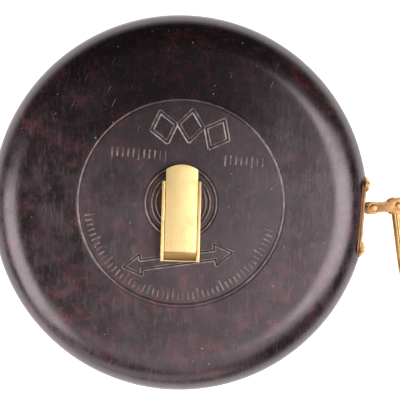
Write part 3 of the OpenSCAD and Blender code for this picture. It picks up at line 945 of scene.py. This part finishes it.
back_profile = (
    [(case_r - chamfer, seam_z), (case_r, seam_z - chamfer)]
    + arc(case_r - shoulder, shoulder, shoulder, 0, -90, 20)
    + back_ring(47) + back_ring(33) + points(0, (12, 0), (2, 0), (2, 1.2))
    + [(bush_r, hub_gap), (bush_r, wall), (30 * MM, wall)]
    + arc(inner_r - inner_round, wall + inner_round, inner_round, -90, 0, 8)
    + [(inner_r, lip_top), (lip_r, lip_top), (lip_r, seam_z), (case_r - chamfer, seam_z)]
)
back_cover = lathe("back_cover", back_profile, sides=256, ends=False)
merge(back_cover, upright("hub", 2.5 * MM, 0.05 * MM, 1.15 * MM))
join_pads(back_cover, wall - 0.5 * MM, seam_z)
merge(back_cover, pillars(wall - 0.2 * MM, seam_z, pillar_r))
notch_y = pad_out + 0.2 * MM
carve(back_cover, block("lip_notch", (40 * MM, -notch_y, seam_z), (case_r, notch_y, lip_top + 1 * MM)))
cut_mouth(back_cover)
carve(back_cover, pillars(-1 * MM, 3.4 * MM, 2.3 * MM))
carve(back_cover, pillars(3 * MM, seam_z + 1 * MM, 1.2 * MM))
finished(closed(back_cover), "case", bakelite.material, "bakelite", "case_back", angle=32)

# %% [markdown]
# A case screw is turned with a slightly domed cheese head, and its slot is cut afterwards. One screw
# is made and copied to each pillar, each copy a little further round, as screws end up in practice.

# %% Case screws
screw_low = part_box("case_screws")[0][2]
screw_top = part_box("case_screws")[1][2]
cheese_head = points(screw_low, (1.1, 1.6), (2.1, 1.6), (2.1, 0.35), (1.8, 0.1), (1.1, 0.02), (0.2, 0))
screw = lathe("screw", points(screw_top, (1.1, 0)) + cheese_head, sides=40)
slotted(screw, 3 * MM, 0.32 * MM, screw_low - 1 * MM, screw_low + 0.7 * MM)
screws = [turned(copied(screw, "screw_copy"), turn * 1.7 + quarter, pillar_place(turn))
          for quarter, turn in enumerate(pillar_turns)]
bpy.data.objects.remove(screw)
finished(joined(screws, "cover_screws"), "case", steel.material, "steel", "case_screws", angle=32)

# %% [markdown]
# The mouth plate is pressed from brass strip folded double. Its slot lets the tape through, and two
# lugs are bent back from it into the case to carry the rollers. The pressing leaves soft edges all
# round, which is where brass catches the light, so the bevel matters more here than the flat.

# %% Mouth plate
slot_half_w, slot_half_h = 4.3 * MM, 8.6 * MM
lug_in, lug_out = 8.75 * MM, 9.65 * MM
lug_edge = window_y - 0.4 * MM
lug_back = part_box("mouth_plate")[0][0]
mouth_plate = plate_shape("mouth_guard", plate_half_w, plate_half_h, seat_x, plate_face, 4 * MM, 10)
carve(mouth_plate, plate_shape("slot", slot_half_w, slot_half_h, seat_x - 1 * MM, plate_face + 1 * MM,
                               1 * MM, 5))
for side in (-1, 1):
    low_z, high_z = either_side(side, lug_in, lug_out)
    merge(mouth_plate, block("lug", (lug_back, -lug_edge, mid_z + low_z),
                             (seat_x + 0.5 * MM, lug_edge, mid_z + high_z)))
soften(tidied(mouth_plate), 0.32 * MM)
finished(closed(mouth_plate), "case", plate_brass, "brass", "mouth_plate")

# %% [markdown]
# Each mouth screw has a domed head with one slot. The dome is turned, the slot is cut, and a fine
# bevel takes the sharpness off the slot. It is turned about Z like everything round, then laid over
# along X and set at its place.

# %% Mouth screws
dome_r, dome_h, edge_h = 2.5 * MM, 1.65 * MM, 0.35 * MM
screw_y = extent("mouth_screws").y / 2 - dome_r
dome_angles = [math.radians(a) for a in range(0, 85, 8)]
dome = [(dome_r * math.cos(a), edge_h + dome_h * math.sin(a)) for a in dome_angles]
shank = points(0, (1.1, -5), (1.1, -0.1), (1.1, 0), (2.42, 0), (2.5, 0.1))
dome_screw = lathe("dome_screw", shank + dome + points(edge_h + dome_h, (0.1, 0)), sides=56)
slotted(dome_screw, 4 * MM, 0.35 * MM, 1.15 * MM, 3 * MM)
soften(dome_screw, 0.08 * MM, 2)

dome_screws = []
for side, slot_turn in ((-1, 12), (1, -20)):
    twin = turned(copied(dome_screw, "dome_screw_copy"), math.radians(slot_turn))
    dome_screws.append(turned(twin, 0, (plate_face, side * screw_y, mid_z), tip=(0, RIGHT_ANGLE)))
bpy.data.objects.remove(dome_screw)
finished(joined(dome_screws, "plate_screws"), "case", handled_brass, "brass", "mouth_screws")

# %% [markdown]
# The crank is a channel folded from brass strip, and the flap is a second, narrower one that lies in
# it upside down. The channel is made as the real one: a flat strip, whose sides are then turned up.
# All of it is modelled pointing along +X, and turned to its place round the axis at the end.

# %% Crank channel
SHEET = 1.0 * MM
KNUCKLE_R = 2.3 * MM
SQUARE = 2.65 * MM
PIN_R = 0.9 * MM
arm_half = 6.2 * MM
inside = arm_half - SHEET
arm_floor = arm_z + SHEET
arm_top = arm_z + 4 * MM
arm_end = hinge_u + KNUCKLE_R + 0.6 * MM
lip_x = arm_end - 0.5 * MM
hinge_at = (hinge_u, 0, hinge_z)

channel = block("crank_channel", (-6.8 * MM, -arm_half, arm_z), (arm_end, arm_half, arm_floor))
with editing(channel):
    for side in (-1, 1):
        bpy.ops.mesh.select_all(action="SELECT")
        bpy.ops.mesh.bisect(plane_co=(0, side * inside, 0), plane_no=(0, 1, 0))
    for side in (-1, 1):
        pick(channel, "faces", lambda face: face.normal.z > 0.9 and side * centre_of(face).y > inside)
        bpy.ops.mesh.extrude_region_move(TRANSFORM_OT_translate={"value": (0, 0, arm_top - arm_floor)})
merge(channel, block("lip", (lip_x, -inside - 0.2 * MM, arm_z + 0.2 * MM),
                     (arm_end, inside + 0.2 * MM, hinge_z + 0.2 * MM)))
carve(channel, block("knuckle_room", (hinge_u - KNUCKLE_R - 0.4 * MM, -inside, arm_z - 1 * MM),
                     (lip_x, inside, arm_z + 2 * MM)))
carve(channel, block("square", (-SQUARE, -SQUARE, arm_z - 1 * MM), (SQUARE, SQUARE, arm_z + 2 * MM)))
carve(channel, crosswise("pin_hole", PIN_R + 0.02 * MM, 30 * MM, hinge_at))
soften(tidied(channel), 0.22 * MM)
finished(turned(channel, crank_turn), "reel", crank_brass, "brass", "crank_arm")

# %% [markdown]
# The flap's top is cut from a longer strip with a round tip: a disc gives the tip, and two cuts along
# the sides take it to the strip's width. Its flanges turn down inside the channel, and at the hinge
# the top curls down through a quarter turn round the pin, which the spin tool draws.

# %% Crank flap, top
TIP_R = 8.9 * MM
FLAP_T = 0.9 * MM
half_w = 5.05 * MM
flap_end = -12 * MM
tip_mid = flap_end + TIP_R
flap_bottom = arm_floor + 0.7 * MM

flap = upright("crank_flap_top", TIP_R, flap_top - FLAP_T, flap_top, (tip_mid, 0), 128)
with editing(flap):
    for place, away in (((0, -half_w, 0), (0, -1, 0)), ((0, half_w, 0), (0, 1, 0)),
                        ((tip_mid, 0, 0), (1, 0, 0))):
        bpy.ops.mesh.select_all(action="SELECT")
        bpy.ops.mesh.bisect(plane_co=place, plane_no=away, use_fill=True, clear_outer=True)
    pick(flap, "faces", lambda face: face.normal.x > 0.9 and centre_of(face).x > tip_mid - 0.1 * MM)
    bpy.ops.mesh.extrude_region_move(TRANSFORM_OT_translate={"value": (hinge_u - tip_mid, 0, 0)})
    bpy.ops.mesh.spin(steps=14, angle=-RIGHT_ANGLE, center=hinge_at, axis=(0, 1, 0))
closed(flap)

# %% Crank flap, flanges and eyes
for side in (-1, 1):
    low_y, high_y = either_side(side, half_w - 0.02 * MM, half_w - FLAP_T)
    flange = block("flange", (flap_end + 2.4 * MM, low_y, flap_bottom),
                   (hinge_u, high_y, flap_top - FLAP_T / 2))
    eye_at = (hinge_u, side * (half_w - FLAP_T / 2), hinge_z)
    merge(flange, crosswise("eye", KNUCKLE_R - 0.18 * MM, FLAP_T - 0.06 * MM, eye_at, 64))
    merge(flap, flange)
carve(flap, crosswise("pin_hole", PIN_R + 0.05 * MM, 30 * MM, hinge_at))
soften(tidied(flap), 0.14 * MM)
up_area = sum(face.area for face in flap.data.polygons if face.normal.z > 0.99) / MM ** 2
print(f"flap top area {up_area:.0f} mm2")
finished(turned(flap, crank_turn), "flap", flap_brass, "bright_brass", "crank_flap")

# %% [markdown]
# The hinge pin is riveted over at both ends, so its heads are low domes with a small flat. The screw
# that holds the crank on the spindle is a pan head with a wide slot.

# %% Hinge pin
rivet_half = points(arm_half, (0.9, 0), (1.2, 0.02), (0.95, 0.25), (0.5, 0.35))
hinge_pin = lathe("hinge_rivet", mirrored(rivet_half), sides=40)
turned(hinge_pin, 0, hinge_at, tip=(RIGHT_ANGLE, 0))
finished(turned(hinge_pin, crank_turn), "reel", aged_brass, "bright_brass", "crank_hinge_pin")

# %% Crank screw
pan_head = points(arm_floor, (1.4, -8), (1.4, -0.05), (1.45, 0), (3.4, 0), (3.5, 0.1), (3.5, 0.75),
                  (3.3, 1.05), (2.7, 1.24), (1.2, 1.3))
crank_screw = lathe("crank_fastener", pan_head, sides=64)
slotted(crank_screw, 5 * MM, 0.4 * MM, arm_floor + 0.7 * MM, arm_floor + 2.3 * MM)
soften(crank_screw, 0.06 * MM, 2)
finished(turned(crank_screw, math.radians(25)), "reel", steel.material, "steel", "crank_screw")

# %% [markdown]
# The link joins the tape's loop to the ring: two cheeks with round ends and a web between them. One
# cheek is drawn flat from two discs and a bar, then copied to the other side. It is modelled along +X
# from its inner pin.

# %% Link
LINK_IN_R = 2.0 * MM
LINK_OUT_R = 2.8 * MM
WAIST = 1.6 * MM
cheek_low = 8.6 * MM
cheek_high = cheek_low + 1.2 * MM

cheek = upright("cheek", LINK_IN_R, cheek_low, cheek_high)
merge(cheek, upright("big_end", LINK_OUT_R, cheek_low, cheek_high, (link_len, 0), 80))
merge(cheek, block("waist", (0, -WAIST, cheek_low), (link_len, WAIST, cheek_high)))
for place in (0, link_len):
    carve(cheek, upright("hole", PIN_R + 0.02 * MM, 0, 20 * MM, (place, 0), 40))
soften(tidied(cheek), 0.25 * MM)
other_cheek = closed(turned(copied(cheek, "other_cheek"), size=(1, 1, -1)))
web_half, web_top = WAIST - 0.05 * MM, cheek_low + 0.3 * MM
web = block("web", (LINK_IN_R + 1 * MM, -web_half, -web_top),
            (link_len - LINK_OUT_R - 0.3 * MM, web_half, web_top))
soften(web, 0.25 * MM, angle=35)
link = joined([cheek, other_cheek, web], "end_shackle")
turned(link, link_turn, (inner_pin.x, inner_pin.y, mid_z))
finished(link, "link", copper_brass, "brass", "end_link")

# %% [markdown]
# The link's two pins are the same rivet: a plain shank, headed over into a low dome at both ends. The
# profile is mirrored about its middle, so both heads come from one list.

# %% Link pins
rivet_half = points(cheek_high, (0.9, 0), (1.3, 0.03), (1.2, 0.22), (0.85, 0.35), (0.4, 0.4))
rivet = lathe("rivet", mirrored(rivet_half), sides=40)
for end, place in (("inner", inner_pin), ("outer", outer_pin)):
    pin = turned(copied(rivet, end + "_rivet"), 0, (place.x, place.y, mid_z))
    finished(pin, "link", copper_brass, "bright_brass", "link_pin_" + end)
bpy.data.objects.remove(rivet)

# %% [markdown]
# The ring is one length of wire, bent into a bow with an eye at each end. A disc of wire is spun
# through half a turn for the bow, and its two ends are pulled out straight for the arms. The eyes are
# turned separately with rounded edges, and joined on where the wire would be coiled.

# %% Ring
WIRE = 1.1 * MM
ARM_OFF = 7.3 * MM
bow_at = 16.7 * MM
to_eye = {"value": (1.4 * MM - bow_at, 0, 0)}
eye_profile = mirrored(points(0, (2.1, 0.62), (1.75, 1), (0.95, 1))) + points(0, (0.95, -1))


def at_bow(edge):
    """True for the edges of the wire's cross-section where the bow begins."""
    return all(abs(vert.co.x - bow_at) < 0.01 * MM for vert in edge.verts)


wire = add("wire_ring", bpy.ops.mesh.primitive_circle_add, vertices=28, radius=WIRE, fill_type="NOTHING",
           location=(bow_at, 0, ARM_OFF), rotation=(0, RIGHT_ANGLE, 0))
with editing(wire):
    bpy.ops.mesh.extrude_edges_move(TRANSFORM_OT_translate=to_eye)
    pick(wire, "edges", at_bow)
    bpy.ops.mesh.spin(steps=36, angle=-2 * RIGHT_ANGLE, center=(bow_at, 0, 0), axis=(0, 1, 0))
    bpy.ops.mesh.extrude_edges_move(TRANSFORM_OT_translate=to_eye)
    bpy.ops.mesh.select_all(action="SELECT")
    bpy.ops.mesh.remove_doubles(threshold=WELD)
    pick(wire, "edges", lambda edge: len(edge.link_faces) == 1)
    bpy.ops.mesh.edge_face_add()
closed(wire)
eyes = [turned(lathe("ring_eye", eye_profile, sides=64, ends=False), 0, (0, 0, side * ARM_OFF))
        for side in (-1, 1)]
ring = joined([wire] + eyes, "tape_ring")
turned(ring, ring_turn, (outer_pin.x, outer_pin.y, mid_z))
finished(ring, "ring", handled_brass, "bright_brass", "end_ring", angle=50)

# %% [markdown]
# The tape inside the case is wound some 100 times round its core. From the side a coil of tape shows its
# turns as fine rings, so the coil is turned with a groove for each second turn, and the last turn is
# left smooth. Its printed face is hidden, so the rings are all that matters.

# %% Wound tape
TAPE_T = extent("tape_run").y
tape_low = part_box("tape_coil")[0][2]
tape_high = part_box("tape_coil")[1][2]
coil_r = extent("tape_coil").x / 2
smooth_r = coil_r - 0.5 * MM
core_r = extent("reel_core").x / 2 + 0.02 * MM
RING_COUNT = 50
ring_pitch = (smooth_r - core_r) / RING_COUNT


def coil_side(height, depth):
    """The grooved side of the coil from its outside to its core."""
    places = []
    for count in range(RING_COUNT):
        outer = smooth_r - ring_pitch * count
        places += [(outer, height), (outer - ring_pitch * 0.12, height - depth),
                   (outer - ring_pitch * 0.24, height)]
    return places


top_side = coil_side(tape_high, 0.10 * MM)
low_side = coil_side(tape_low, -0.10 * MM)[::-1]
coil_profile = ([(coil_r, tape_low), (coil_r, tape_high)] + top_side + [(core_r, tape_high), (core_r, tape_low)]
                + low_side + [(coil_r, tape_low)])
coil = lathe("wound_tape", coil_profile, sides=120, ends=False)
finished(coil, "reel", coil_edge.material, "tape_cloth", "tape_coil", angle=32)

# %% [markdown]
# From the coil the tape runs straight to the upper roller, passes under it and leaves through the
# slot. Its cross-section is a thin upright face. Spun round the roller's axis and then pulled out
# towards the coil, it follows the path that a pulled tape takes.

# %% Tape from coil to roller
roller = middle("roller_upper")
roller_far = math.hypot(roller.x, roller.y)
tangent_r = (roller.y - tape_y) + (coil_r + 0.1 * MM + TAPE_T / 2)
lead_turn = math.atan2(roller.y, roller.x) + math.acos(tangent_r / roller_far)
lead_len = math.sqrt(roller_far ** 2 - tangent_r ** 2)
away = (-math.sin(lead_turn) * lead_len, math.cos(lead_turn) * lead_len, 0)


def tape_strip(name, low_x, high_x):
    """A straight length of tape along +X with softened long edges."""
    strip = block(name, (low_x, tape_y - TAPE_T / 2, tape_low), (high_x, tape_y + TAPE_T / 2, tape_high))
    return rounded(strip, 0.09 * MM, 2)


lead = tape_strip("tape_over_roller", roller.x - 0.05 * MM, roller.x)
with editing(lead):
    pick(lead, "faces", lambda face: face.normal.x < -0.9)
    bpy.ops.mesh.spin(steps=16, angle=RIGHT_ANGLE - lead_turn, center=(roller.x, roller.y, 0), axis=(0, 0, 1))
    bpy.ops.mesh.extrude_region_move(TRANSFORM_OT_translate={"value": away})
print(f"{lead_len / MM:.1f} mm of tape between the coil and the roller")
finished(closed(lead), "case", cloth.material, "tape_cloth", "tape_lead", angle=60)

# %% [markdown]
# The tape in the mouth runs straight from the roller to the crimp. It is cut into short lengths first,
# so that it could stay even if it were drawn out.

# %% Tape in the mouth
clamp_low, clamp_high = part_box("tape_clamp")
LENGTHS = 40
run = tape_strip("tape_in_mouth", roller.x, clamp_low[0] + 0.3 * MM)
with editing(run):
    for count in range(1, LENGTHS):
        bpy.ops.mesh.select_all(action="SELECT")
        cut_x = roller.x + (clamp_low[0] - roller.x) * count / LENGTHS
        bpy.ops.mesh.bisect(plane_co=(cut_x, 0, 0), plane_no=(1, 0, 0))
alone(run)
bpy.ops.object.shade_smooth_by_angle(angle=math.radians(60))
run.data.materials.append(cloth.material)
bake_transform(run)
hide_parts("tape_run")
print("tape in the mouth:", len(run.data.polygons), "faces")

# %% [markdown]
# At its end the tape is folded back round the link's inner pin, and a brass crimp holds the fold. The
# loop is a short turned sleeve, joined to the doubled strip that runs into the crimp.

# %% Tape end
LOOP_IN = 0.95 * MM
loop_out = LOOP_IN + TAPE_T
edge = 0.09 * MM
loop_foot = (loop_out - edge, tape_low)
loop_profile = [loop_foot, (loop_out, tape_low + edge), (loop_out, tape_high - edge),
                (loop_out - edge, tape_high), (LOOP_IN, tape_high), (LOOP_IN, tape_low), loop_foot]
loop = lathe("tape_loop", loop_profile, sides=48, ends=False)
turned(loop, 0, (inner_pin.x, inner_pin.y, 0))
merge(loop, block("doubled", (clamp_low[0], tape_y - TAPE_T, tape_low + 0.02 * MM),
                  (inner_pin.x - LOOP_IN - 0.1 * MM, tape_y + TAPE_T, tape_high - 0.02 * MM)))
finished(closed(loop), "tape_end", cloth.material, "tape_cloth", "tape_tip", angle=50)

# %% Crimp
room = 0.02 * MM
crimp = soften(rounded(block("tape_crimp", clamp_low, clamp_high), 0.5 * MM, 5), 0.12 * MM, 2)
carve(crimp, block("room", (clamp_low[0] - 1 * MM, tape_y - TAPE_T - room, tape_low - room),
                   (clamp_high[0] + 1 * MM, tape_y + TAPE_T + room, tape_high + room)))
finished(closed(crimp), "tape_end", aged_brass, "brass", "tape_clamp")

# %% [markdown]
# The parts deep inside have their true shape in the frame already, so they stay as they are. They only
# take the finishes made above, each by what it is made of.

# %% Finishes of the inner parts
inner_finishes = {
    aged_brass: ("front_bush", "back_bush", "roller_pins"),
    handled_brass: ("reel_rivets", "tape_anchor_pin"),
    steel.material: ("front_washer", "back_washer", "spindle", "drive_pin", "reel_flange_front",
                     "reel_flange_back", "roller_upper", "roller_lower"),
    wood.material: ("reel_core",),
}
for material, names in inner_finishes.items():
    for name in names:
        nodes[name].data.materials.clear()
        nodes[name].data.materials.append(material)
print(sum(len(names) for names in inner_finishes.values()), "inner parts finished")

# %% [markdown]
# The case lies on a plain white sheet, which gives a little light back, so its edges stay bright.

# %% Floor
bpy.ops.mesh.primitive_plane_add(size=6, location=(0, 0, -0.05 * MM))
floor = bpy.context.object
floor.name = "white_sheet"
paper = Finish("white_paper", Roughness=0.9, Emission_Color=(1, 1, 1), Emission_Strength=0.85)
fibres = paper.noise(3, 4, 0.6)
paper.set(Base_Color=paper.mix(fibres, (0.90, 0.90, 0.90), (0.86, 0.86, 0.86)))
floor.data.materials.append(paper.material)
